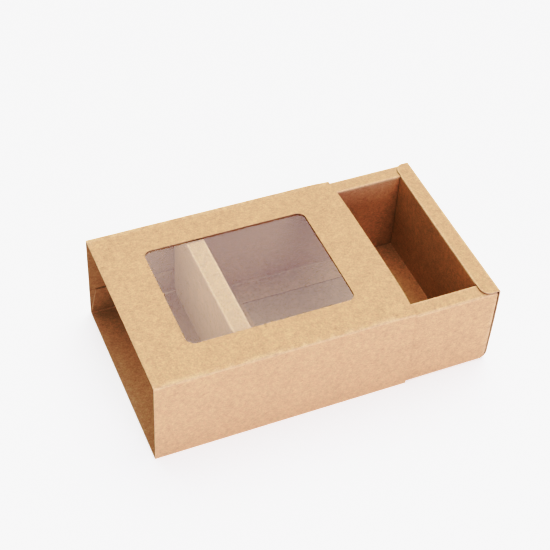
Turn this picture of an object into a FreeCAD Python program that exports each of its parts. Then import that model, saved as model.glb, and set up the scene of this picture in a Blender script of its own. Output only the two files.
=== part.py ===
"""Sliding drawer gift box: a windowed sleeve of kraft board with a thick-walled tray that slides through it.

Millimetres. The origin is the middle of the sleeve's underside, +X runs along the sleeve to the end where
the drawer stands out, +Y to the wall with the glued seam, +Z up. Each blank is one sheet folded at its
creases, so it is one solid: strips of board with true bends, trimmed panel by panel and joined where the
sheet runs on.
"""

import FreeCAD, Part
import math
import os

V = FreeCAD.Vector

# ---- board, film and glue ----
BOARD = 0.5  # thickness of the kraft board
CREASE_RADIUS = 0.3  # inside radius of every fold
LAYER_GAP = 0.15  # air between two layers of one folded blank
FILM = 0.2  # thickness of the clear window film
GLUE = 0.1  # thickness of a pressed glue line

# ---- sleeve ----
SLEEVE_LENGTH = 130.0
SLEEVE_WIDTH = 99.0
SLEEVE_HEIGHT = 51.0
SEAM_EDGE_LIFT = 0.2  # the seam wall's cut edge stays this far above the table
GLUE_FLAP_HEIGHT = 16.0
GLUE_FLAP_TAPER = 3.0  # how far each end of the glue flap slants in at its top
SEAM_GLUE_MARGIN = 2.0  # bare border round the seam's glue line
WINDOW_LENGTH = 84.0
WINDOW_WIDTH = 63.0
WINDOW_CORNER = 4.0
WINDOW_SHIFT = 0.7  # from the middle of the panel towards the seam wall
FILM_OVERLAP = 9.0  # the film reaches this far past the window on every side
FILM_GLUE_WIDTH = 4.0
FILM_GLUE_INSET = 2.0  # from the film's edge to its glue line

# ---- drawer ----
DRAWER_LENGTH = 130.6
DRAWER_PULL = 45.6  # how far the drawer stands out of the sleeve at rest
SIDE_CLEARANCE = 0.2  # drawer to sleeve, each side
TOP_CLEARANCE = 0.8  # drawer to the window film
BOTTOM_CLEARANCE = 0.1  # drawer to the sleeve's floor
SIDE_LEDGE_WIDTH = 7.8  # flat top of each hollow side wall, outer face to inner face
END_LEDGE_WIDTH = 9.3  # the same for the end walls
EAR_RADIUS = 5.0  # rounded inner corner where an end ledge laps over a side ledge
CORNER_GAP = 0.4  # between a corner flap and the end wall that covers it
CORNER_FLAP_LENGTH = 30.0
CORNER_FLAP_TAPER = 4.0
CORNER_ROUND = 3.0  # radius of a side wall's lower corners
INNER_WALL_LAP = 4.0  # each side inner wall runs this far past the end inner wall
INNER_WALL_GAP = 0.3  # between an end inner wall's edge and the side inner wall
SIDE_FLAP_WIDTH = 14.0  # tail of the side inner wall, lying on the floor
END_FLAP_WIDTH = 20.0  # tail of the end inner wall, lying on the side flaps
FLAP_MITRE = 6.0  # how far a floor flap's ends slant in
CORNER_RELIEF = 2.6  # height of the slanted cut at an end wall's lower corners

# ---- heights and faces that follow ----
BEND = CREASE_RADIUS + BOARD  # a fold's outside radius
STEP = BOARD + LAYER_GAP  # from one layer of board to the next one on it

SEAM_FACE = SLEEVE_WIDTH / 2 - BOARD  # inner face of the seam wall
CHANNEL_FRONT = -(SLEEVE_WIDTH / 2 - BOARD)  # the drawer's channel, between the front wall ...
CHANNEL_BACK = SEAM_FACE - GLUE - BOARD  # ... and the glue flap
FILM_TOP = SLEEVE_HEIGHT - BOARD - GLUE

DRAWER_X = DRAWER_PULL + (SLEEVE_LENGTH - DRAWER_LENGTH) / 2  # the drawer's middle
DRAWER_Y = (CHANNEL_FRONT + CHANNEL_BACK) / 2
HALF_LENGTH = DRAWER_LENGTH / 2
HALF_WIDTH = (CHANNEL_BACK - CHANNEL_FRONT) / 2 - SIDE_CLEARANCE
INNER_HALF_LENGTH = HALF_LENGTH - END_LEDGE_WIDTH
INNER_HALF_WIDTH = HALF_WIDTH - SIDE_LEDGE_WIDTH
FLOOR_Z = BOARD + BOTTOM_CLEARANCE  # underside of the drawer's floor
END_LEDGE_Z = FILM_TOP - FILM - TOP_CLEARANCE - BOARD  # underside of an end ledge
SIDE_LEDGE_Z = END_LEDGE_Z - STEP  # a side ledge lies one layer lower
SIDE_FLAP_Z = FLOOR_Z + STEP
END_FLAP_Z = SIDE_FLAP_Z + STEP
CORNER_FLAP_FACE = HALF_LENGTH - BOARD - CORNER_GAP  # outer face of a corner flap
SIDE_REACH = CORNER_FLAP_FACE - BEND  # a side wall's panels run this far from the middle


# ---- tools for folded board ----
def folded_strip(corners, thickness, inside_radius, across, up):
    """Face of a strip of board that follows a centre line, folded at each corner of it."""
    points = [V(u, v, 0) for u, v in corners]
    runs = [(b - a).normalize() for a, b in zip(points, points[1:])]
    normals = [V(-d.y, d.x, 0) for d in runs]
    half = thickness / 2

    def side(sign):
        edges = []
        here = points[0] + normals[0] * (sign * half)
        for k in range(1, len(runs)):
            turn = math.atan2(runs[k - 1].cross(runs[k]).z, runs[k - 1].dot(runs[k]))
            radius = inside_radius + half
            back = radius * math.tan(abs(turn) / 2)
            to_centre = normals[k - 1] * math.copysign(radius, turn)
            centre = points[k] - runs[k - 1] * back + to_centre
            start = points[k] - runs[k - 1] * back + normals[k - 1] * (sign * half)
            end = points[k] + runs[k] * back + normals[k] * (sign * half)
            middle = centre + (points[k] - centre).normalize() * (start - centre).Length
            edges += [(here, start), (start, middle, end)]
            here = end
        edges.append((here, points[-1] + normals[-1] * (sign * half)))
        return edges

    left, right = side(1), side(-1)
    outline = left + [(left[-1][-1], right[-1][-1])]
    outline += [tuple(reversed(e)) for e in reversed(right)]
    outline.append((right[0][0], left[0][0]))
    edges = []
    for e in outline:
        e = [across * p.x + up * p.y for p in e]
        edges.append(Part.Arc(*e).toShape() if len(e) == 3 else Part.LineSegment(*e).toShape())
    return Part.Face(Part.Wire(edges))


def prism(points, along):
    """Solid with a flat many-sided end face, carried along a vector."""
    return Part.Face(Part.makePolygon(points + points[:1])).extrude(along)


def block(x0, x1, y0, y1, z0, z1):
    """Block between two opposite corners."""
    return Part.makeBox(x1 - x0, y1 - y0, z1 - z0, V(x0, y0, z0))


def centred_block(length, width, shift, z0, z1):
    """Block centred at X = 0, Y = shift."""
    return block(-length / 2, length / 2, shift - width / 2, shift + width / 2, z0, z1)


def rounded_plate(length, width, shift, radius, z0, z1):
    """Centred block with its four upright edges rounded."""
    plate = centred_block(length, width, shift, z0, z1)
    upright = [e for e in plate.Edges if abs(e.tangentAt(e.FirstParameter).z) > 0.5]
    return plate.makeFillet(radius, upright)


def both_sides(shape):
    """A shape and its mirror image on the other side of the drawer's lengthwise middle plane."""
    return [shape, shape.mirror(V(0, 0, 0), V(0, 1, 0))]


def both_ends(shape):
    """A shape and its mirror image at the drawer's other end."""
    return [shape, shape.mirror(V(0, 0, 0), V(1, 0, 0))]


def four_ways(shape):
    """A shape at all four corners of the drawer."""
    return [copy for half in both_ends(shape) for copy in both_sides(half)]


def one_solid(shape):
    """The single solid of a joined shape, with its split faces merged."""
    merged = shape.removeSplitter()
    assert len(merged.Solids) == 1 and merged.isValid(), "a blank came apart"
    return merged.Solids[0]


# ---- sleeve: seam wall, top, front wall, bottom and glue flap, folded round in one strip ----
def sleeve():
    seam_y = SLEEVE_WIDTH / 2 - BOARD / 2
    top_z = SLEEVE_HEIGHT - BOARD / 2
    flap_y = SEAM_FACE - GLUE - BOARD / 2
    flap_top = BOARD + GLUE_FLAP_HEIGHT
    line = [
        (seam_y, SEAM_EDGE_LIFT),
        (seam_y, top_z),
        (-seam_y, top_z),
        (-seam_y, BOARD / 2),
        (flap_y, BOARD / 2),
        (flap_y, flap_top),
    ]
    strip = folded_strip(line, BOARD, CREASE_RADIUS, V(0, 1, 0), V(0, 0, 1))
    strip.translate(V(-SLEEVE_LENGTH / 2, 0, 0))
    wrap = strip.extrude(V(SLEEVE_LENGTH, 0, 0))
    top = SLEEVE_HEIGHT
    window = (WINDOW_LENGTH, WINDOW_WIDTH, WINDOW_SHIFT, WINDOW_CORNER)
    window = rounded_plate(*window, top - 2 * BOARD, top + BOARD)
    wrap = wrap.cut(window)
    for end in (-1, 1):
        x = end * SLEEVE_LENGTH / 2
        slant = [
            V(x, flap_y - BOARD, BEND),
            V(x - end * GLUE_FLAP_TAPER, flap_y - BOARD, flap_top + BOARD),
            V(x + end * BOARD, flap_y - BOARD, flap_top + BOARD),
            V(x + end * BOARD, flap_y - BOARD, BEND),
        ]
        wrap = wrap.cut(prism(slant, V(0, SEAM_FACE - GLUE - flap_y + BOARD, 0)))
    return one_solid(wrap)


# ---- clear film under the top panel, and the glue lines that hold film and seam ----
def window_film():
    length, width = WINDOW_LENGTH + 2 * FILM_OVERLAP, WINDOW_WIDTH + 2 * FILM_OVERLAP
    return centred_block(length, width, WINDOW_SHIFT, FILM_TOP - FILM, FILM_TOP)


def window_glue():
    past = 2 * (FILM_OVERLAP - FILM_GLUE_INSET)
    length, width = WINDOW_LENGTH + past, WINDOW_WIDTH + past
    z0, z1 = FILM_TOP, FILM_TOP + GLUE
    frame = centred_block(length, width, WINDOW_SHIFT, z0, z1)
    inner = centred_block(length - 2 * FILM_GLUE_WIDTH, width - 2 * FILM_GLUE_WIDTH, WINDOW_SHIFT, z0, z1)
    return frame.cut(inner)


def seam_glue():
    half_x = SLEEVE_LENGTH / 2 - GLUE_FLAP_TAPER - SEAM_GLUE_MARGIN
    z0 = BEND + SEAM_GLUE_MARGIN
    z1 = BOARD + GLUE_FLAP_HEIGHT - SEAM_GLUE_MARGIN
    return block(-half_x, half_x, SEAM_FACE - GLUE, SEAM_FACE, z0, z1)


# ---- drawer: one blank, floor and four hollow walls ----
def side_walls():
    """Floor with both side walls: out, up, over the ledge, down inside and along the floor."""
    outer = HALF_WIDTH - BOARD / 2
    inner = INNER_HALF_WIDTH + BOARD / 2
    floor_z, ledge_z, flap_z = (z + BOARD / 2 for z in (FLOOR_Z, SIDE_LEDGE_Z, SIDE_FLAP_Z))
    half = [
        (outer, floor_z),
        (outer, ledge_z),
        (inner, ledge_z),
        (inner, flap_z),
        (inner - SIDE_FLAP_WIDTH, flap_z),
    ]
    line = [(-y, z) for y, z in reversed(half)] + half
    strip = folded_strip(line, BOARD, CREASE_RADIUS, V(0, 1, 0), V(0, 0, 1))
    strip.translate(V(-SIDE_REACH, 0, 0))
    walls = strip.extrude(V(2 * SIDE_REACH, 0, 0))
    return walls.cut(side_wall_trims())


def side_wall_trims():
    """What the knife takes off the side inner walls, their floor flaps and the outer walls' lower corners."""
    wall_end = INNER_HALF_LENGTH + BOARD + INNER_WALL_LAP
    flap_end = INNER_HALF_LENGTH - INNER_WALL_GAP
    past = SIDE_REACH + BOARD
    bend_face = INNER_HALF_WIDTH - CREASE_RADIUS
    flap_tip = INNER_HALF_WIDTH - SIDE_FLAP_WIDTH - BOARD
    under_flap = SIDE_FLAP_Z - LAYER_GAP / 2
    above_flap = SIDE_FLAP_Z + BEND
    wall_top = SIDE_LEDGE_Z - CREASE_RADIUS
    beside = INNER_HALF_WIDTH + BOARD + LAYER_GAP / 2
    wall_cut = block(wall_end, past, bend_face, beside, under_flap, wall_top)
    mitre = [
        V(flap_end, beside, under_flap),
        V(flap_end, bend_face, under_flap),
        V(flap_end - FLAP_MITRE, flap_tip, under_flap),
        V(past, flap_tip, under_flap),
        V(past, beside, under_flap),
    ]
    flap_cut = prism(mitre, V(0, 0, above_flap - under_flap))
    fold_start = HALF_WIDTH - BEND
    centre = (SIDE_REACH - CORNER_ROUND, FLOOR_Z + CORNER_ROUND)
    corner = block(centre[0], past, fold_start, HALF_WIDTH + BOARD, FLOOR_Z - BOARD, centre[1])
    around = V(centre[0], fold_start, centre[1])
    corner_cut = corner.cut(Part.makeCylinder(CORNER_ROUND, BEND + BOARD, around, V(0, 1, 0)))
    return Part.makeCompound(four_ways(wall_cut.fuse([flap_cut, corner_cut])))


def end_wall():
    """One end wall at +X: a full-width cover, and between the side walls its inner wall and floor flap."""
    outer = HALF_LENGTH - BOARD / 2
    inner = INNER_HALF_LENGTH + BOARD / 2
    floor_z, ledge_z, flap_z = (z + BOARD / 2 for z in (FLOOR_Z, END_LEDGE_Z, END_FLAP_Z))
    root = (INNER_HALF_LENGTH, floor_z)
    cover_line = [root, (outer, floor_z), (outer, ledge_z), (inner, ledge_z)]
    lining_line = [(outer - BEND, ledge_z), (inner, ledge_z), (inner, flap_z)]
    lining_line.append((inner - END_FLAP_WIDTH, flap_z))
    lining_half = INNER_HALF_WIDTH - INNER_WALL_GAP
    pieces = []
    for line, half in ((cover_line, HALF_WIDTH), (lining_line, lining_half)):
        strip = folded_strip(line, BOARD, CREASE_RADIUS, V(1, 0, 0), V(0, 0, 1))
        strip.translate(V(0, -half, 0))
        pieces.append(strip.extrude(V(0, 2 * half, 0)))
    cover, lining = pieces
    trims = end_cover_trims() + end_flap_mitres(lining_half)
    return cover.fuse(lining).cut(Part.makeCompound(trims))


def end_cover_trims():
    """Rounds the ears over the side ledges, and slants the cover's lower corners clear of the side folds."""
    ear_x = INNER_HALF_LENGTH + BOARD / 2
    centre_y = HALF_WIDTH - EAR_RADIUS
    bottom = END_LEDGE_Z - LAYER_GAP / 2
    height = BOARD + LAYER_GAP
    corner = block(ear_x - BOARD, ear_x + EAR_RADIUS, centre_y, HALF_WIDTH + BOARD, bottom, bottom + height)
    round_end = Part.makeCylinder(EAR_RADIUS, height, V(ear_x + EAR_RADIUS, centre_y, bottom))
    ear_cut = corner.cut(round_end)
    fold_end = HALF_WIDTH - BEND - LAYER_GAP
    below = FLOOR_Z - BOARD
    slant = [
        V(0, fold_end, below),
        V(0, fold_end, FLOOR_Z + BEND),
        V(0, HALF_WIDTH + BOARD, FLOOR_Z + BEND + CORNER_RELIEF),
        V(0, HALF_WIDTH + BOARD, below),
    ]
    low_cut = prism(slant, V(HALF_LENGTH + BOARD, 0, 0))
    return both_sides(ear_cut.fuse(low_cut))


def end_flap_mitres(lining_half):
    """Slants the two ends of the end wall's floor flap."""
    root = INNER_HALF_LENGTH - CREASE_RADIUS
    tip = INNER_HALF_LENGTH - END_FLAP_WIDTH - BOARD
    z0 = END_FLAP_Z - LAYER_GAP / 2
    corner = [
        V(root, lining_half, z0),
        V(tip, lining_half - FLAP_MITRE, z0),
        V(tip, lining_half + BOARD, z0),
        V(root, lining_half + BOARD, z0),
    ]
    return both_sides(prism(corner, V(0, 0, BEND)))


def corner_flap():
    """Flap at the +X +Y corner, folded off the side wall into the hollow of the end wall."""
    side = HALF_WIDTH - BOARD / 2
    face = CORNER_FLAP_FACE - BOARD / 2
    tip = side - CORNER_FLAP_LENGTH
    line = [(face - 2 * BEND, side), (face, side), (face, tip)]
    strip = folded_strip(line, BOARD, CREASE_RADIUS, V(1, 0, 0), V(0, 1, 0))
    z0 = FLOOR_Z + CORNER_ROUND
    z1 = SIDE_LEDGE_Z - CREASE_RADIUS - LAYER_GAP
    strip.translate(V(0, 0, z0))
    flap = strip.extrude(V(0, 0, z1 - z0))
    taper_root = side - BEND
    for edge, inward in ((z0, CORNER_FLAP_TAPER), (z1, -CORNER_FLAP_TAPER)):
        away = -math.copysign(BOARD, inward)
        corner = [
            V(face - BOARD, taper_root, edge),
            V(face - BOARD, tip - BOARD, edge + inward),
            V(face - BOARD, tip - BOARD, edge + away),
            V(face - BOARD, taper_root, edge + away),
        ]
        flap = flap.cut(prism(corner, V(2 * BOARD, 0, 0)))
    return flap


def drawer_tray():
    tray = one_solid(side_walls().fuse(both_ends(end_wall()) + four_ways(corner_flap())))
    tray.translate(V(DRAWER_X, DRAWER_Y, 0))
    return tray


NODES = {
    "sleeve": sleeve,
    "window_film": window_film,
    "window_glue": window_glue,
    "seam_glue": seam_glue,
    "drawer_tray": drawer_tray,
}

os.makedirs("parts", exist_ok=True)
for name, make in NODES.items():
    solid = make()
    solid.exportStep(f"parts/{name}.step")
    box = solid.BoundBox
    print(f"{name}: {box.XLength:.2f} x {box.YLength:.2f} x {box.ZLength:.2f} mm, {solid.Volume:.0f} mm3")
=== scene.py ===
import bmesh
import bpy
import numpy as np
from mathutils import Matrix, Vector


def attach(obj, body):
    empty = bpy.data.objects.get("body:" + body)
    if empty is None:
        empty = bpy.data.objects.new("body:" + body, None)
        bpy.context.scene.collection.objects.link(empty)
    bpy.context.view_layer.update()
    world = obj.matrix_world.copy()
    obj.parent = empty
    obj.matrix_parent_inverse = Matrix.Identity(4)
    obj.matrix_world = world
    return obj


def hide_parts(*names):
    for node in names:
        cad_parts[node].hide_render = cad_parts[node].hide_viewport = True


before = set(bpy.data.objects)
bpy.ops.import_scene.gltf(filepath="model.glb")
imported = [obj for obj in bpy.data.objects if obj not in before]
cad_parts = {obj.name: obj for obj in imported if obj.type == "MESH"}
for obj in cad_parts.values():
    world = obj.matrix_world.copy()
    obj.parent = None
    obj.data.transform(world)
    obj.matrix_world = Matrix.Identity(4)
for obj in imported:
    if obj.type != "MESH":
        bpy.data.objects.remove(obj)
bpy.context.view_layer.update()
MM = 0.001  # the board's sizes are written in millimetres, and meshes are in metres

# ---- camera ----
# A short telephoto above the front left corner of the sleeve, looking down at 46 degrees.
camera = bpy.data.objects.new("camera", bpy.data.cameras.new("camera"))
bpy.context.scene.collection.objects.link(camera)
camera_place = Vector((-0.17758, -0.39151, 0.49082))
camera_up = Vector((0.24800538, 0.67537452, 0.69452329))
look = Vector((0.3060909, 0.62556511, -0.71761874)).normalized()
right = look.cross(camera_up).normalized()
turn = Matrix((right, right.cross(look), -look)).transposed()
camera.matrix_world = Matrix.Translation(camera_place) @ turn.to_4x4()
camera.data.sensor_width = 36.0
camera.data.lens = 84.96
camera.data.shift_x = -0.0003
camera.data.shift_y = 0.0133
camera.data.clip_start = 0.01
bpy.context.scene.camera = camera


# ---- sleeve: one sheet of kraft board wrapped round into a flat tube ----
# Die-cut, creased and folded at four edges, with a window cut through the top panel. The seam
# wall and the glue flap overlap at the back and are glued. The board is 0.5 mm thick. Its inside
# face is given a darker colour than its outside, as painted shade for the hollows of the sleeve and
# the drawer. Its creases are crushed a little lighter, and its cut edges show a greyer middle.
BOARD = 0.5
FOLD = 0.32  # radius of a fold at the middle of the board
RUBBED = 0.4  # how far beside a fold its paper is rubbed


def folded_line(corners, spacing):
    """Points of a flat line that runs straight between its corners and rounds each with an arc.

    On a run, point = start + way * distance. On a bend, point = centre + FOLD * (cos, sin) of an
    angle that grows evenly. Returns the points, each one's run number (whole on a run, between two
    whole numbers in a bend), and how much its paper is rubbed: 1 in a bend, and
    exp(-(distance / RUBBED) ** 2) beside it.
    """
    bend_steps = 5
    beside_fold = np.array([0.3, 0.8])  # extra points, where the rubbed paper fades
    long_run, closest = 3.0, 0.25
    unfolded = 99.0  # stands for the distance from a free end to a fold that isn't there
    corners = np.asarray(corners, float)
    ways = np.diff(corners, axis=0)
    ways /= np.linalg.norm(ways, axis=1)[:, None]
    cross = ways[:-1, 0] * ways[1:, 1] - ways[:-1, 1] * ways[1:, 0]
    angles = np.arctan2(cross, np.sum(ways[:-1] * ways[1:], axis=1))
    back = FOLD * np.tan(np.abs(angles) / 2)
    starts = corners[:-1] + ways * np.r_[0, back][:, None]
    ends = corners[1:] - ways * np.r_[back, 0][:, None]
    points, runs, creases = [], [], []
    for k, (start, end) in enumerate(zip(starts, ends)):
        is_first, is_last = k == 0, k == len(angles)
        length = np.linalg.norm(end - start)
        beside = beside_fold if length > long_run else np.array([])
        stops = np.r_[0, beside * (not is_first), length - beside * (not is_last), length]
        steps = max(1, int(np.ceil(length / spacing)))
        t = np.unique(np.r_[stops, np.linspace(0, length, steps + 1)])
        t = t[np.r_[True, (np.diff(t) > closest) | (t[1:] == length)]]
        to_fold = np.minimum(t + unfolded * is_first, length - t + unfolded * is_last)
        points.append(start + ways[k] * t[:, None])
        runs.append(np.full(len(t), float(k)))
        creases.append(np.exp(-((to_fold / RUBBED) ** 2)))
        if not is_last:
            side = np.array([-ways[k, 1], ways[k, 0]]) * np.sign(angles[k])
            centre = end + side * FOLD
            t = np.linspace(0, 1, bend_steps + 1)[1:-1]
            swing = (t * np.abs(angles[k]))[:, None]
            points.append(centre + FOLD * (np.sin(swing) * ways[k] - np.cos(swing) * side))
            runs.append(k + t)
            creases.append(np.ones(len(t)))
    return np.vstack(points), np.hstack(runs), np.hstack(creases)


def grid_faces(rows, columns, keep=None):
    """Quads of a rows x columns grid of points; keep says which of its cells are board."""
    index = np.arange(rows * columns).reshape(rows, columns)
    quads = np.stack([index[:-1, :-1], index[1:, :-1], index[1:, 1:], index[:-1, 1:]], axis=-1)
    return quads.reshape(-1, 4) if keep is None else quads[keep]


def folded_board(name, grids, wander, materials):
    """One piece of board from several grids of points in mm that meet at shared points.

    Each grid is (points rows x columns x 3, crease rows x columns, keep). The grids are moved by
    wander(points), merged where they meet, and given the board's thickness, half to each side. The
    lowest panel's outside faces down, which tells the sheet's outside from its inside.
    Materials: outside, edge, inside.
    """
    merge_within, sharp_over = 0.02, 40
    offset, verts, creases, quads = 0, [], [], []
    for points, crease, keep in grids:
        rows, columns = points.shape[:2]
        verts.append(points.reshape(-1, 3))
        creases.append(np.broadcast_to(crease, (rows, columns)).reshape(-1))
        quads.append(grid_faces(rows, columns, keep) + offset)
        offset += rows * columns
    used, quads = np.unique(np.vstack(quads), return_inverse=True)
    verts = np.vstack(verts)[used]
    verts = verts + wander(verts)
    mesh = bpy.data.meshes.new(name)
    mesh.from_pydata(verts * MM, [], quads.reshape(-1, 4).tolist())
    crease = np.hstack(creases)[used].astype("f")
    mesh.attributes.new("crease", "FLOAT", "POINT").data.foreach_set("value", crease)
    sheet = bmesh.new()
    sheet.from_mesh(mesh)
    bmesh.ops.remove_doubles(sheet, verts=sheet.verts, dist=merge_within * MM)
    bmesh.ops.recalc_face_normals(sheet, faces=sheet.faces)
    sheet.to_mesh(mesh)
    sheet.free()
    centres, normals = (np.empty(3 * len(mesh.polygons), "f") for _ in range(2))
    mesh.polygons.foreach_get("center", centres)
    mesh.polygons.foreach_get("normal", normals)
    if normals[2::3][centres[2::3].argmin()] > 0:
        mesh.flip_normals()
    for material in materials:
        mesh.materials.append(material)
    piece = bpy.data.objects.new(name, mesh)
    bpy.context.scene.collection.objects.link(piece)
    thickness = piece.modifiers.new("board", "SOLIDIFY")
    thickness.thickness = BOARD * MM
    thickness.offset = 0.0
    thickness.use_even_offset = True
    thickness.material_offset_rim = 1
    thickness.material_offset = 2
    bpy.context.view_layer.update()
    finished = piece.evaluated_get(bpy.context.evaluated_depsgraph_get())
    solid = bpy.data.meshes.new_from_object(finished)
    piece.modifiers.clear()
    piece.data = solid
    solid.name = name
    solid.shade_smooth()
    solid.set_sharp_from_angle(angle=np.radians(sharp_over))
    return piece


def add(tree, kind, inputs=None, **settings):
    """Adds a node; inputs gives its sockets, each a value or another node's output to link."""
    node = tree.nodes.new(kind)
    for key, value in settings.items():
        setattr(node, key, value)
    for key, value in (inputs or {}).items():
        if isinstance(value, bpy.types.NodeSocket):
            tree.links.new(value, node.inputs[key])
        else:
            node.inputs[key].default_value = value
    return node


def mixed(tree, share, first, second):
    """A colour that goes from first to second as share goes from 0 to 1."""
    inputs = {"Factor": share, "A": first, "B": second}
    return add(tree, "ShaderNodeMix", inputs, data_type="RGBA").outputs["Result"]


def kraft_fibres():
    """Effect: the look of unbleached kraft paper, worked out from a point on it.

    Shade is 1 + broad cloud + cloud + fibres, each a noise of its own size about zero. Height is
    the fibres' relief, Fleck marks a few dark shives of bark, and Warmth, 0 to 1, is where the pulp
    is redder.
    """
    group = bpy.data.node_groups.new("kraft_fibres", "ShaderNodeTree")
    group.interface.new_socket("Position", in_out="INPUT", socket_type="NodeSocketVector")
    for name in ("Clouds", "Fibres"):
        group.interface.new_socket(name, in_out="INPUT", socket_type="NodeSocketFloat")
    for name in ("Shade", "Height", "Fleck", "Warmth"):
        group.interface.new_socket(name, in_out="OUTPUT", socket_type="NodeSocketFloat")
    given, out = group.nodes.new("NodeGroupInput"), group.nodes.new("NodeGroupOutput")
    along_x, along_y = (0.5, 1, 1), (1, 0.5, 1)

    def noise(scale, detail, stretch=(1, 1, 1)):
        """A noise of so many cells to the metre; a smaller stretch makes them longer that way."""
        inputs = {"Vector": given.outputs["Position"], "Scale": stretch}
        spot = add(group, "ShaderNodeMapping", inputs).outputs[0]
        inputs = {"Vector": spot, "Scale": scale, "Detail": detail, "Roughness": 0.6}
        return add(group, "ShaderNodeTexNoise", inputs).outputs[0]

    def math(operation, a, b, c=0.0):
        """One sum of two or three numbers."""
        return add(group, "ShaderNodeMath", {0: a, 1: b, 2: c}, operation=operation).outputs[0]

    broad = math("SUBTRACT", noise(60, 2), 0.5)
    cloud = math("SUBTRACT", noise(420, 3), 0.5)
    fibre = math("SUBTRACT", noise(1500, 4, along_x), 0.5)
    cross = math("SUBTRACT", noise(1900, 3, along_y), 0.5)
    threads = math("ADD", fibre, cross)
    shade = math("MULTIPLY_ADD", broad, 0.10, 1.0)
    shade = math("MULTIPLY_ADD", cloud, given.outputs["Clouds"], shade)
    shade = math("MULTIPLY_ADD", threads, given.outputs["Fibres"], shade)
    few = {"Value": noise(700, 1, along_x), "From Min": 0.70, "From Max": 0.78}
    group.links.new(shade, out.inputs["Shade"])
    group.links.new(math("MULTIPLY_ADD", cloud, 0.5, threads), out.inputs["Height"])
    group.links.new(add(group, "ShaderNodeMapRange", few).outputs[0], out.inputs["Fleck"])
    group.links.new(noise(900, 3), out.inputs["Warmth"])
    return group


def kraft(name, colour, crease_colour, fleck_colour, clouds, fibres, relief):
    """Uncoated kraft board: the fibres tint its colour, and a crease is rubbed lighter."""
    greener_pulp, redder_pulp = (0.92, 1.045, 1.0, 1), (1.08, 0.955, 1.0, 1)
    rubbed_share, fleck_share = 0.55, 0.35
    fibre_height = 0.06 * MM
    material = bpy.data.materials.new(name)
    material.use_nodes = True
    tree = material.node_tree
    shader = tree.nodes["Principled BSDF"]
    place = add(tree, "ShaderNodeTexCoord").outputs["Object"]
    paper = tree.nodes.new("ShaderNodeGroup")
    paper.node_tree = fibres_group
    tree.links.new(place, paper.inputs["Position"])
    paper.inputs["Clouds"].default_value = clouds
    paper.inputs["Fibres"].default_value = fibres

    def times(a, b):
        """a * b."""
        return add(tree, "ShaderNodeMath", {0: a, 1: b}, operation="MULTIPLY").outputs[0]

    crease = add(tree, "ShaderNodeAttribute", attribute_name="crease").outputs["Fac"]
    board = mixed(tree, times(crease, rubbed_share), colour, crease_colour)
    flecked = mixed(tree, times(paper.outputs["Fleck"], fleck_share), board, fleck_colour)
    pulp = mixed(tree, paper.outputs["Warmth"], greener_pulp, redder_pulp)
    warmed = add(tree, "ShaderNodeVectorMath", {0: flecked, 1: pulp}, operation="MULTIPLY")
    inputs = {0: warmed.outputs[0], "Scale": paper.outputs["Shade"]}
    shaded = add(tree, "ShaderNodeVectorMath", inputs, operation="SCALE")
    tree.links.new(shaded.outputs[0], shader.inputs["Base Color"])
    inputs = {"Strength": relief, "Distance": fibre_height, "Height": paper.outputs["Height"]}
    tree.links.new(add(tree, "ShaderNodeBump", inputs).outputs[0], shader.inputs["Normal"])
    shader.inputs["Roughness"].default_value = 0.88
    shader.inputs["Specular IOR Level"].default_value = 0.25
    return material


fibres_group = kraft_fibres()
board_face = kraft(
    "kraft_outside",
    colour=(0.525, 0.338, 0.186, 1),
    crease_colour=(0.66, 0.465, 0.29, 1),
    fleck_colour=(0.27, 0.14, 0.07, 1),
    clouds=0.42,
    fibres=0.58,
    relief=0.9,
)
# Painted shade: the inside face's colour is the outside's made darker, for the shaded hollows of the
# sleeve and drawer.
board_inside_painted_shade = kraft(
    "kraft_inside_painted_shade",
    colour=(0.44, 0.295, 0.178, 1),
    crease_colour=(0.80, 0.60, 0.42, 1),
    fleck_colour=(0.22, 0.12, 0.06, 1),
    clouds=0.42,
    fibres=0.58,
    relief=0.9,
)
board_edge = kraft(
    "board_cut_edge",
    colour=(0.45, 0.32, 0.21, 1),
    crease_colour=(0.50, 0.35, 0.22, 1),
    fleck_colour=(0.27, 0.15, 0.08, 1),
    clouds=0.2,
    fibres=0.5,
    relief=0.8,
)

# Outside sizes of the sleeve and its window; places are at the middle of the board's thickness.
sleeve_long, sleeve_wide, sleeve_high = 130.0, 99.0, 51.0
window_long, window_wide, window_r, window_shift = 84.0, 63.0, 4.0, 0.7
glue_gap = 0.1
half_x, seam_y = sleeve_long / 2, (sleeve_wide - BOARD) / 2
bottom_z, top_z = BOARD / 2, sleeve_high - BOARD / 2
seam_foot, flap_y, flap_top, flap_taper = 0.2, seam_y - BOARD - glue_gap, 16.5, 3.0
window_x, window_y = window_long / 2, window_wide / 2

# Nicks in the window's edge, where the die left the waste held on: one on the left side, one on the
# front side and one in the front left corner.
nick_y, nick_x, corner_nick = 2.3, 1.3, (-40.9, -30.3)
nick_deep, nick_wide = 0.8, 0.4


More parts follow.
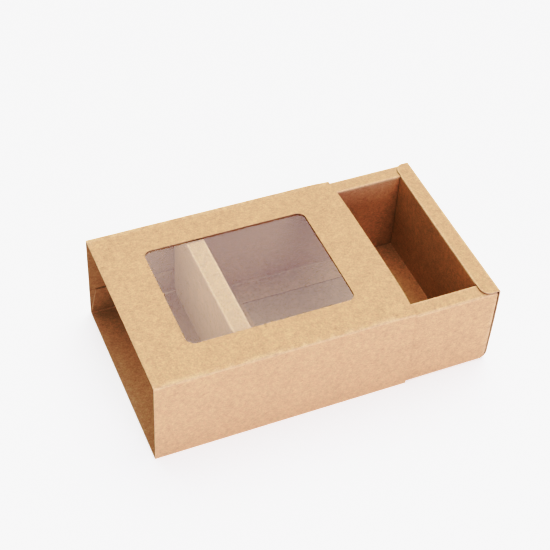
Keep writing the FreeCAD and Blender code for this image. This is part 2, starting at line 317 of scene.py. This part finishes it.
def window_outline():
    """Points round the window and, for each, the point of the panel's border that it is joined to.

    On a straight side the border point is straight across. In a rounded corner the window point is
    centre + radius * (cos, sin) of an angle, and the border point runs along one side of the panel
    to its corner, then away along the other side. Points lie closer together where a nick will be,
    and one beside each corner's middle gives the panel a column of points 0.4 from its ends.
    """
    border_y = seam_y - FOLD
    straight_x, straight_y = window_x - window_r, window_y - window_r
    nick = np.linspace(-0.6, 0.6, 7)
    run_x = np.unique(np.r_[np.linspace(-1, 1, 33) * straight_x, nick_x + nick, -nick_x - nick])
    run_y = np.unique(np.r_[np.linspace(-1, 1, 25) * straight_y, nick_y + nick, -nick_y - nick])
    beside_middle = np.pi / 4 - 0.012
    turn = np.unique(np.r_[np.linspace(0, np.pi / 2, 13)[1:-1], beside_middle])
    reach = np.clip(turn / (np.pi / 4), 0, 2)
    out_x = straight_x + (half_x - straight_x) * np.clip(reach, 0, 1)
    out_y = border_y + (straight_y - border_y) * np.clip(reach - 1, 0, 1)
    corner = [straight_x + window_r * np.sin(turn), straight_y + window_r * np.cos(turn)]
    corner, outer_corner = np.stack(corner, 1), np.stack([out_x, out_y], 1)
    back, outer_back = (np.stack([run_x, np.full_like(run_x, y)], 1) for y in (window_y, border_y))
    side, outer_side = (np.stack([np.full_like(run_y, x), -run_y], 1) for x in (window_x, half_x))
    inner = np.vstack([back, corner, side, corner[::-1] * (1, -1)])
    outer = np.vstack([outer_back, outer_corner, outer_side, outer_corner[::-1] * (1, -1)])
    return np.vstack([inner, -inner, inner[:1]]), np.vstack([outer, -outer, outer[:1]])


hole, border = window_outline()
nicks = np.array([(-window_x, nick_y), (-nick_x, -window_y), corner_nick])
near = np.exp(-np.sum((hole[:, None] - nicks) ** 2, axis=2) / nick_wide**2).max(axis=1)
hole -= nick_deep * near[:, None] * hole / np.linalg.norm(hole, axis=1)[:, None]
hole[:, 1] += window_shift
from_hole = np.linspace(0, 1, 9)[:, None, None]
panel = hole + (border - hole) * from_hole
panel = np.concatenate([panel, np.full(panel.shape[:2] + (1,), top_z)], axis=2)
columns = np.unique(np.round(border[np.isclose(border[:, 1], seam_y - FOLD), 0], 6))

# The two lines of the tube's section that start at the top panel; lead_in is the stretch of the
# panel that aims each line's first fold, and is left out again.
lead_in, sleeve_spacing = 3.0, 3.0
back_corners = [(seam_y, seam_foot), (seam_y, top_z), (seam_y - lead_in, top_z)]
front_corners = [(-seam_y + lead_in, top_z), (-seam_y, top_z), (-seam_y, bottom_z)]
front_corners += [(flap_y, bottom_z), (flap_y, flap_top)]
back_line, back_run, back_crease = folded_line(back_corners, sleeve_spacing)
front_line, front_run, front_crease = folded_line(front_corners, sleeve_spacing)


def carried(line, crease, columns, kept):
    """A line of (y, z) points carried along x: point = (column, y, z). kept says which are used."""
    line, crease = line[kept], crease[kept]
    x = np.broadcast_to(columns, (len(line), len(columns)))
    yz = np.broadcast_to(line[:, None], (len(line), len(columns), 2))
    return np.dstack([x, yz]), np.broadcast_to(crease[:, None], x.shape).copy(), None


back_strip = carried(back_line, back_crease, columns, np.r_[True, back_run[:-1] < 1])
front_strip = carried(front_line, front_crease, columns, np.r_[front_run[1:] > 0, True])

# The glue flap narrows from just above its fold to its upper edge; its slanted ends are torn pale.
flap_foot, torn_pale = 0.8, 1.2
strip_points, strip_crease, _ = front_strip
on_flap = strip_points[..., 1] > flap_y - 0.01
up_flap = np.clip((strip_points[..., 2] - flap_foot) / (flap_top - flap_foot), 0, 1) * on_flap
strip_points[..., 0] *= 1 - up_flap * flap_taper / half_x
strip_crease[:, [0, -1]] += torn_pale * (up_flap[:, [0, -1]] > 0.05)


def sleeve_wander(p):
    """How the folded sheet strays from flat, in mm.

    The front of the top panel sags by (share of the way to its crease) ** 2. The panel's corners at
    the open right end are pulled in and down by a bell curve of the distance from them, and that
    end's edge draws in by (x / half length) ** 8 * (y / half width) ** 2. The front and back walls
    bow inward by a slow wave of a tenth of a millimetre, and the top panel ripples by a product of
    two sines.
    """
    front_sag, corner_pull, corner_drop, end_pull = 0.3, 0.5, 0.6, 0.5
    wall_bow, wave = 0.06, 0.05
    x, y, z = p.T
    high = np.clip(z / top_z, 0, 1)
    sag = front_sag * np.clip(-y / seam_y, 0, 1) ** 2 * high**2
    corner = np.exp(-(((half_x - x) / 7) ** 2) - ((seam_y - np.abs(y)) / 9) ** 2) * high**6
    mouth = -end_pull * np.clip(x / half_x, 0, 1) ** 8 * (y / seam_y) ** 2 * high**2
    bow = wall_bow * (1 + np.sin(x / 23.0 + z / 17.0)) * np.sin(np.pi * high) * (np.abs(y) > 48)
    ripple = wave * np.sin(x / 9.0 + 1.0) * np.sin(y / 14.0 + 0.4) * (z > 45)
    down = sag + corner_drop * corner + np.abs(ripple)
    return np.stack([mouth - corner_pull * corner, -bow * np.sign(y), -down], 1)


sleeve_grids = [(panel, 0.0, None), back_strip, front_strip]
board_materials = [board_face, board_edge, board_inside_painted_shade]
sleeve_board = folded_board("sleeve_board", sleeve_grids, sleeve_wander, board_materials)
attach(sleeve_board, "sleeve")
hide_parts("sleeve")


# ---- window film: a clear plastic sheet glued under the top panel ----
# Polished film 0.2 mm thick. It is stuck down all round and follows the panel, with a faint wave.
film_lap, film_thick, film_z = 9.0, 0.2, 50.36
film_x, film_y = window_x + film_lap, window_y + film_lap


def film_sheet():
    """Grid of x by y; z = film height + the panel's own stray - a slow wave of two sines."""
    slack, wave = 0.06, 0.05
    x_line, y_line = np.linspace(-film_x, film_x, 52), np.linspace(-film_y, film_y, 42)
    x, y = np.meshgrid(x_line, y_line + window_shift)
    under_panel = np.stack([x, y, np.full_like(x, top_z)], -1).reshape(-1, 3)
    z = film_z + sleeve_wander(under_panel)[:, 2].reshape(x.shape)
    inside = np.clip(1 - (x / window_x) ** 2, 0, 1) * np.clip(1 - (y / window_y) ** 2, 0, 1)
    z -= inside * (slack + wave * np.sin(x / 11.0) * np.sin(y / 9.0 + 0.7))
    return np.stack([x, y, z], -1)


def clear_film():
    """Clear plastic. It reflects as a polished sheet does, and lets light through to the drawer.

    Each face lets through 0.94 * (1 - grazing ** 5) of the light, grazing being 1 - the cosine
    between the light and the face's normal, so low light is turned away.
    """
    let_through, turned_back = (0.94, 0.94, 0.94, 1), (0.0, 0.0, 0.0, 1)
    grazing_power = 5.0
    material = bpy.data.materials.new("clear_film")
    material.use_nodes = True
    tree = material.node_tree
    film = tree.nodes["Principled BSDF"]
    film.inputs["Base Color"].default_value = (0.94, 0.98, 1.0, 1)
    film.inputs["Roughness"].default_value = 0.0
    film.inputs["IOR"].default_value = 1.40
    film.inputs["Specular Tint"].default_value = (1.0, 0.79, 0.74, 1)
    film.inputs["Transmission Weight"].default_value = 1.0
    path = add(tree, "ShaderNodeLightPath")
    inputs = {0: path.outputs["Is Shadow Ray"], 1: path.outputs["Is Diffuse Ray"]}
    indirect = add(tree, "ShaderNodeMath", inputs, operation="MAXIMUM").outputs[0]
    grazing = add(tree, "ShaderNodeLayerWeight", {"Blend": 0.5}).outputs["Facing"]
    inputs = {0: grazing, 1: grazing_power}
    turned_away = add(tree, "ShaderNodeMath", inputs, operation="POWER").outputs[0]
    passed = mixed(tree, turned_away, let_through, turned_back)
    clear = add(tree, "ShaderNodeBsdfTransparent", {"Color": passed}).outputs[0]
    pane = add(tree, "ShaderNodeMixShader", {0: indirect, 1: film.outputs[0], 2: clear})
    tree.links.new(pane.outputs[0], tree.nodes["Material Output"].inputs["Surface"])
    return material


film_points = film_sheet()
film_faces = grid_faces(*film_points.shape[:2])
film_mesh = bpy.data.meshes.new("film_sheet")
film_mesh.from_pydata(film_points.reshape(-1, 3) * MM, [], film_faces.tolist())
film_mesh.flip_normals()
film_piece = bpy.data.objects.new("film_sheet", film_mesh)
bpy.context.scene.collection.objects.link(film_piece)
film_mesh.materials.append(clear_film())
film_mesh.shade_smooth()
film_solidify = film_piece.modifiers.new("thickness", "SOLIDIFY")
film_solidify.thickness = film_thick * MM
film_solidify.offset = 0.0
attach(film_piece, "sleeve")
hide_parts("window_film")


# ---- glue lines: dried white paper glue, pressed flat ----
# One frame holds the film under the top panel, and one patch holds the glue flap to the seam wall.
def dried_glue():
    """Pale, slightly blotchy glue: white to cream by a noise of a few millimetres."""
    cream, white = (0.82, 0.77, 0.68, 1), (0.92, 0.9, 0.84, 1)
    material = bpy.data.materials.new("dried_glue")
    material.use_nodes = True
    tree = material.node_tree
    place = add(tree, "ShaderNodeTexCoord").outputs["Object"]
    inputs = {"Vector": place, "Scale": 300.0, "Detail": 3.0}
    blotch = add(tree, "ShaderNodeTexNoise", inputs).outputs[0]
    shader = tree.nodes["Principled BSDF"]
    tree.links.new(mixed(tree, blotch, cream, white), shader.inputs["Base Color"])
    shader.inputs["Roughness"].default_value = 0.5
    return material


glue = dried_glue()
for name in ("window_glue", "seam_glue"):
    glue_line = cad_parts[name]
    glue_line.data.materials.clear()
    glue_line.data.materials.append(glue)


# ---- drawer: one sheet of kraft board folded into a tray with thick hollow walls ----
# Each wall goes up outside, over a flat ledge, down inside and along the floor as a flap. The end
# walls' ledges lap over the side ledges as rounded ears. Corner flaps turn in from the side walls.
mid_x, mid_y = 45.3, -0.3  # the tray's middle in the sleeve; the sizes below are from it
layer = BOARD + 0.15  # a sheet that lies on another, with the air between them
side_out, side_in, side_ledge = 48.25, 40.95, 48.5
end_out, end_in, end_ledge = 65.05, 56.25, side_ledge + layer
floor_z = 0.85
side_flap_z, end_flap_z = floor_z + layer, floor_z + 2 * layer
side_flap_long, end_flap_long, corner_flap_long = 14.0, 20.0, 30.0
wall_reach, inner_reach, flap_reach = 63.8, 60.5, 55.7  # half lengths of the side wall's panels
lining_reach, cover_reach = 40.4, 48.5  # half widths of the end wall's inner and outer panels
arm_spacing = 2.4


def evenly(stops, spacing):
    """Values from the first stop to the last, through every stop, no further apart than spacing."""
    steps = [int(np.ceil((b - a) / spacing)) for a, b in zip(stops, stops[1:])]
    parts = [np.linspace(a, b, n + 1)[:-1] for a, b, n in zip(stops, stops[1:], steps)]
    return np.r_[np.hstack(parts), stops[-1]]


def side_arm(sign):
    """A side wall of the tray, floor edge to flap, as (u along x) by (v along the folded line).

    Past flap_reach, x is squeezed so that the outer wall ends at wall_reach, less near the floor by
    a corner of radius 3. The inner wall and the floor flap end where inner_reach and flap_reach say.
    """
    foot_r = 3.0
    ledge_fall = 0.5 if sign < 0 else 0.0  # the front ledge slopes down to its outer crease
    corners = [(side_out - FOLD, floor_z), (side_out, floor_z)]
    corners += [(side_out, side_ledge - ledge_fall), (side_in, side_ledge)]
    corners += [(side_in, side_flap_z), (side_in - side_flap_long, side_flap_z)]
    line, run, crease = folded_line(corners, 2.0)
    stops = [-wall_reach, -inner_reach, -flap_reach, flap_reach, inner_reach, wall_reach]
    u = evenly(stops, arm_spacing)
    x = np.broadcast_to(u, (len(line), len(u)))
    rise = np.clip(line[:, 1:] - floor_z + BOARD / 2, 0, foot_r)
    corner = wall_reach - foot_r + np.sqrt(np.clip(foot_r**2 - (foot_r - rise) ** 2, 0, None))
    reach = np.where(run[:, None] < 1.5, corner, wall_reach)
    past_flap = np.abs(x) - flap_reach
    squeezed = flap_reach + past_flap * (reach - flap_reach) / (wall_reach - flap_reach)
    x = np.where(past_flap > 0, np.sign(x) * squeezed, x)
    y, z = (np.broadcast_to(line[:, k : k + 1], x.shape) for k in (0, 1))
    cell_run = np.minimum(run[:-1], run[1:])[:, None]
    cell_u = np.abs(u[:-1] + u[1:])[None] / 2
    keep = (cell_u < flap_reach) | ((cell_u < inner_reach) & (cell_run < 4)) | (cell_run < 3)
    return (np.dstack([x, sign * y, z]), crease[:, None], keep), line, run


def end_arm(sign):
    """An end wall: its middle runs from floor edge to floor flap, and its outer parts stop as ears.

    An ear's free end is x = end_in, and past it a quarter circle of radius 5 takes off the corner.
    Near the floor the cover is 0.95 narrower, growing to cover_reach over 2.6 of height.
    """
    ear_r = 5.0
    foot_z, foot_rise, foot_narrower = 1.4, 2.6, 0.95
    corners = [(end_out - FOLD, floor_z), (end_out, floor_z), (end_out, end_ledge)]
    corners += [(end_in, end_ledge), (end_in, end_flap_z), (end_in - end_flap_long, end_flap_z)]
    line, run, crease = folded_line(corners, 1.6)
    v = evenly([-lining_reach, lining_reach], arm_spacing)
    y = np.broadcast_to(v, (len(line), len(v)))
    x, z = (np.broadcast_to(line[:, k : k + 1], y.shape) for k in (0, 1))
    middle = (np.dstack([sign * x, y, z]), crease[:, None], None)

    cover = run <= 2
    tail = np.array([[end_in + FOLD / 2, end_ledge], [end_in, end_ledge]])
    path = np.vstack([line[cover], tail])
    path_crease = np.r_[crease[cover], 0, 0]
    turn = np.linspace(0, np.pi / 2, 9)
    straight = evenly([lining_reach, cover_reach - ear_r], 1.1)[:-1]
    w = np.r_[straight, cover_reach - ear_r + ear_r * np.sin(turn)]
    end_of_ear = np.r_[np.full(len(straight), end_in), end_in + ear_r - ear_r * np.cos(turn)]
    ledge_start = end_out - FOLD
    on_ledge = (path[:, 1:] > end_ledge - 0.001) & (path[:, :1] <= ledge_start + 0.001)
    share = (ledge_start - path[:, :1]) / (ledge_start - end_in)
    ear_x = np.where(on_ledge, ledge_start - share * (ledge_start - end_of_ear), path[:, :1])
    up_foot = np.clip((path[:, 1:] - foot_z) / foot_rise, 0, 1)
    half_cover = up_foot * foot_narrower + cover_reach - foot_narrower
    stretch = (half_cover - lining_reach) / (cover_reach - lining_reach)
    ear_y = lining_reach + (w - lining_reach) * stretch
    ear_z = np.broadcast_to(path[:, 1:], ear_x.shape)
    ears = [np.dstack([sign * ear_x, side * ear_y, ear_z]) for side in (-1, 1)]
    return [middle] + [(ear, path_crease[:, None], None) for ear in ears]


def corner_flap(sign_x, sign_y, wall_line, wall_run):
    """A flap folded off a side wall's end into the hollow of the end wall, tapered to its tip.

    Its rows start at the wall's own heights and close in towards the middle height by
    taper * (share of the way to the tip) * (distance from the middle / half height).
    """
    foot, head, taper = 3.8, side_ledge - 1.1, 4.0
    turn_x, tip_y = wall_reach + FOLD, side_out - corner_flap_long
    corners = [(wall_reach, side_out), (turn_x, side_out), (turn_x, tip_y)]
    line, _, crease = folded_line(corners, 3.0)
    z = wall_line[(wall_run == 1) & (wall_line[:, 1] > foot) & (wall_line[:, 1] < head), 1]
    way = np.clip((side_out - line[:, 1:]) / corner_flap_long, 0, 1)
    from_middle = np.abs(z - z.mean()) / (z.max() - z.mean())
    rows = z + way * taper * np.where(z < z.mean(), 1, -1) * from_middle
    x, y = (np.broadcast_to(line[:, k : k + 1], rows.shape) for k in (0, 1))
    return np.dstack([sign_x * x, sign_y * y, rows]), crease[:, None], None


def tray_grids():
    """The floor's grid and every arm's; neighbours share the points of their common edge."""
    grids = []
    for sign in (-1, 1):
        arm, wall_line, wall_run = side_arm(sign)
        grids.append(arm)
        grids += end_arm(sign)
        grids += [corner_flap(sign_x, sign, wall_line, wall_run) for sign_x in (-1, 1)]
    edge_x = grids[0][0][0, :, 0]
    end_starts = [points[0, :, 1] for points, _, _ in grids[1:4]]
    edge_y = np.unique(np.round(np.hstack(end_starts), 5))
    floor_x = np.r_[-(end_out - FOLD), edge_x, end_out - FOLD]
    floor_y = np.r_[-(side_out - FOLD), edge_y, side_out - FOLD]
    x, y = np.meshgrid(floor_x, floor_y)
    cell_x = np.abs(floor_x[:-1] + floor_x[1:]) / 2
    cell_y = np.abs(floor_y[:-1] + floor_y[1:]) / 2
    keep = (cell_x[None] < edge_x.max()) | (cell_y[:, None] < edge_y.max())
    grids.append((np.stack([x, y, np.full_like(x, floor_z)], -1), 0.0, keep))
    return grids


def tray_wander(p):
    """How the folded tray strays from square, in mm, and its place in the sleeve.

    Above the sleeve's glue flap, the back wall leans out by (share of the height) ** 1.3 *
    (y / half width) ** 2. The tray's top tilts up to the back, most at the right. The right end
    wall leans in by height ** 3, and its lining by height, most at the front. Low down, the side
    walls' right ends reach to the end wall, so the gap at the corner closes. Inner walls bow by slow
    waves of a quarter of a millimetre.
    """
    high, half_wide, half_long = 49.0, 48.0, 65.0
    flap_share, back_lean, end_lean = 0.25, 0.75, 0.65
    lift, back_lift, corner_lift = 0.15, 0.35, 0.4
    lining_lean, lining_twist, inner_bow = 0.3, 0.4, 0.25
    closing, closing_from, closing_long = 0.3, 60.0, 3.8
    x, y, z = p.T
    height = np.clip(z / high, 0, 1)
    to_back = np.clip(y / half_wide, 0, 1)
    above_flap = np.clip((height - flap_share) / (1 - flap_share), 0, 1)
    lean = back_lean * above_flap**1.3 * to_back**2
    to_corner = to_back * np.clip(x / half_long, 0, 1)
    tilt = (lift + back_lift * y / half_wide + corner_lift * to_corner) * height
    inner = (np.abs(y) < 42) & (np.abs(x) < 57.5) & (z > 2.5)
    bulge = np.where(inner, inner_bow * np.sin(np.pi * height), 0)
    bow_y = bulge * np.sin(x / 17.0 + 0.8) * (np.abs(y) > 40)
    bow_x = bulge * np.sin(y / 13.0 + 0.3) * (np.abs(x) > 55)
    outward = np.clip((x - end_in) / (end_out - end_in), 0, 1)
    lining = (-lining_lean + lining_twist * y / 40) * height * (1 - outward)
    end_way = lining - end_lean * height**3 * outward
    to_end = np.clip((x - closing_from) / closing_long, 0, 1) * (x < 64.4)
    end_way += closing * (1 - height) * to_end
    return np.stack([mid_x + bow_x + end_way * (x > 50), mid_y + lean + bow_y, tilt], 1)


drawer_board = folded_board("drawer_board", tray_grids(), tray_wander, board_materials)
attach(drawer_board, "drawer")
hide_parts("drawer_tray")


# ---- floor and light ----
# A plain pale floor, a pale dome that is brightest high up behind, whose reflection lies on the
# window film, two softboxes in front, low and high, and two weaker ones to the left that reach into
# the sleeve's empty end. The floor glows a little, as a large white table does.
def floor():
    """One square face at z = 0, from -3 to 3 metres both ways."""
    reach = 3.0
    corners = [(-reach, -reach, 0), (reach, -reach, 0), (reach, reach, 0), (-reach, reach, 0)]
    mesh = bpy.data.meshes.new("floor")
    mesh.from_pydata(corners, [], [(0, 1, 2, 3)])
    plane = bpy.data.objects.new("floor", mesh)
    bpy.context.scene.collection.objects.link(plane)
    material = bpy.data.materials.new("pale_floor")
    material.use_nodes = True
    shader = material.node_tree.nodes["Principled BSDF"]
    shader.inputs["Base Color"].default_value = (0.90, 0.90, 0.90, 1)
    shader.inputs["Roughness"].default_value = 0.9
    shader.inputs["Emission Color"].default_value = (0.98, 0.98, 1.02, 1)
    shader.inputs["Emission Strength"].default_value = 0.34
    mesh.materials.append(material)


def softbox(name, direction, size, power, colour):
    """A square area lamp 2 metres away, facing the box; size is in metres and power in watts."""
    distance = 2.0
    lamp = bpy.data.lights.new(name, "AREA")
    lamp.size = size
    lamp.energy = power
    lamp.color = colour
    box = bpy.data.objects.new(name, lamp)
    way = Vector(direction).normalized()
    facing = way.to_track_quat("Z", "Y").to_matrix().to_4x4()
    box.matrix_world = Matrix.Translation(way * distance) @ facing
    bpy.context.scene.collection.objects.link(box)


floor()
softbox("softbox_front", (0.10, -0.98, 0.08), size=0.4, power=9.4, colour=(1.0, 0.88, 1.34))
softbox("softbox_high_front", (0.10, -0.80, 0.60), size=0.9, power=8.4, colour=(1.0, 0.92, 1.10))
softbox("softbox_left", (-0.74, -0.32, 0.54), size=0.8, power=4.8, colour=(1.0, 0.95, 0.93))
softbox("softbox_low_left", (-0.94, -0.28, 0.20), size=0.6, power=3.0, colour=(1.0, 0.97, 0.90))


def studio_dome():
    """A dome that is bright above and behind, a little to the right, and dim in front and left.

    Strength = low + (high - low) * smooth step of the direction's dot product with the bright side.
    """
    bright_side = Vector((0.27, 0.44, 0.86)).normalized()
    low, high = 0.08, 2.47
    world = bpy.data.worlds.new("pale_studio")
    world.use_nodes = True
    tree = world.node_tree
    way = add(tree, "ShaderNodeTexCoord").outputs["Generated"]
    inputs = {0: way, 1: bright_side}
    facing = add(tree, "ShaderNodeVectorMath", inputs, operation="DOT_PRODUCT").outputs["Value"]
    inputs = {"Value": facing, "From Min": 0.60, "From Max": 0.95, "To Min": low, "To Max": high}
    glow = add(tree, "ShaderNodeMapRange", inputs, interpolation_type="SMOOTHSTEP")
    tree.links.new(glow.outputs[0], tree.nodes["Background"].inputs["Strength"])
    tree.nodes["Background"].inputs["Color"].default_value = (0.98, 0.98, 1.0, 1)
    bpy.context.scene.world = world


studio_dome()

# A film-like tone: deep shade sinks and warms, and the brightest tones are held back from white.
# Half shade keeps a little more blue and a little less green, so kraft board doesn't turn olive
# there. The green and blue curves come first; their points are (light, light that is kept of it).
white_light, brightest_shown = 1.5, 0.93
shown_points = (
    (0.03, 0.009),
    (0.07, 0.032),
    (0.12, 0.09),
    (0.20, 0.27),
    (0.36, 0.49),
    (0.55, 0.70),
    (0.75, 0.83),
    (0.95, 0.89),
)
green_points = (
    (0.135, 0.135),
    (0.170, 0.165),
    (0.205, 0.200),
    (0.260, 0.257),
    (0.330, 0.330),
    (0.60, 0.60),
)
blue_points = (
    (0.083, 0.083),
    (0.113, 0.124),
    (0.135, 0.146),
    (0.170, 0.175),
    (0.220, 0.220),
    (0.45, 0.45),
)
view = bpy.context.scene.view_settings
view.view_transform = "Standard"
view.use_curve_mapping = True
view.curve_mapping.white_level = (white_light,) * 3
_, green, blue, tone = view.curve_mapping.curves
tone.points[0].location = (0.0, 0.0)
tone.points[1].location = (1.0, brightest_shown)
for light, shown in shown_points:
    tone.points.new(light / white_light, shown)
for curve, points in ((green, green_points), (blue, blue_points)):
    for light, kept in points:
        curve.points.new(light / white_light, kept / white_light)
view.curve_mapping.update()
